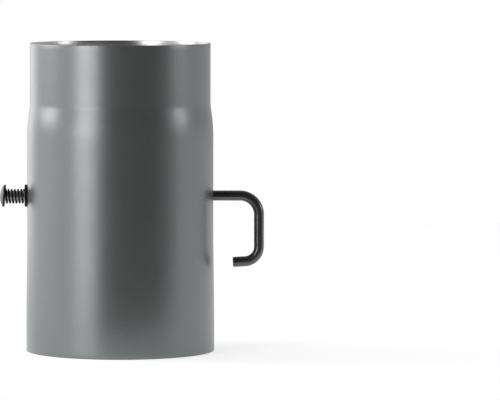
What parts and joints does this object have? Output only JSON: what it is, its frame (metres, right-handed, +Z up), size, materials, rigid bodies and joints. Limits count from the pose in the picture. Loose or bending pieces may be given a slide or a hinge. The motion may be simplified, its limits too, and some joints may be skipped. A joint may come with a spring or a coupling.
{
  "type": "stove pipe damper",
  "caption": "Grey steel stove pipe with a necked-in spigot and a turning blade inside, on a rod with a bent black handle, a washer, a friction spring and a domed cap.",
  "frame": {"origin": "on the pipe axis in the plane of the bottom rim", "axes": "+Z up the pipe towards the necked spigot, +X along the rod towards the handle, -Y is the side seen in the picture"},
  "size_m": [0.2146, 0.153, 0.25],
  "materials": {
    "grey_heat_paint": "satin, fine metallic speckle",
    "bare_sheet_steel": "rolled sheet",
    "black_handle_paint": "satin",
    "weld_metal": "as welded",
    "black_hardware": "blackened, oily satin",
    "spring_steel": "hardened"
  },
  "bodies": {
    "pipe": {"flue_pipe": "grey_heat_paint", "flat_washer": "black_hardware", "friction_spring": "black_hardware"},
    "damper": {"handle_rod": "black_handle_paint", "damper_blade": "bare_sheet_steel", "tack_weld": "weld_metal", "end_cap": "black_hardware", "push_on_ring": "spring_steel"}
  },
  "joints": [
    {"name": "damper_turn", "type": "hinge", "parent": "pipe", "child": "damper", "pos_m": [0, 0, 0.126], "axis": [1, 0, 0], "continuous": true}
  ]
}
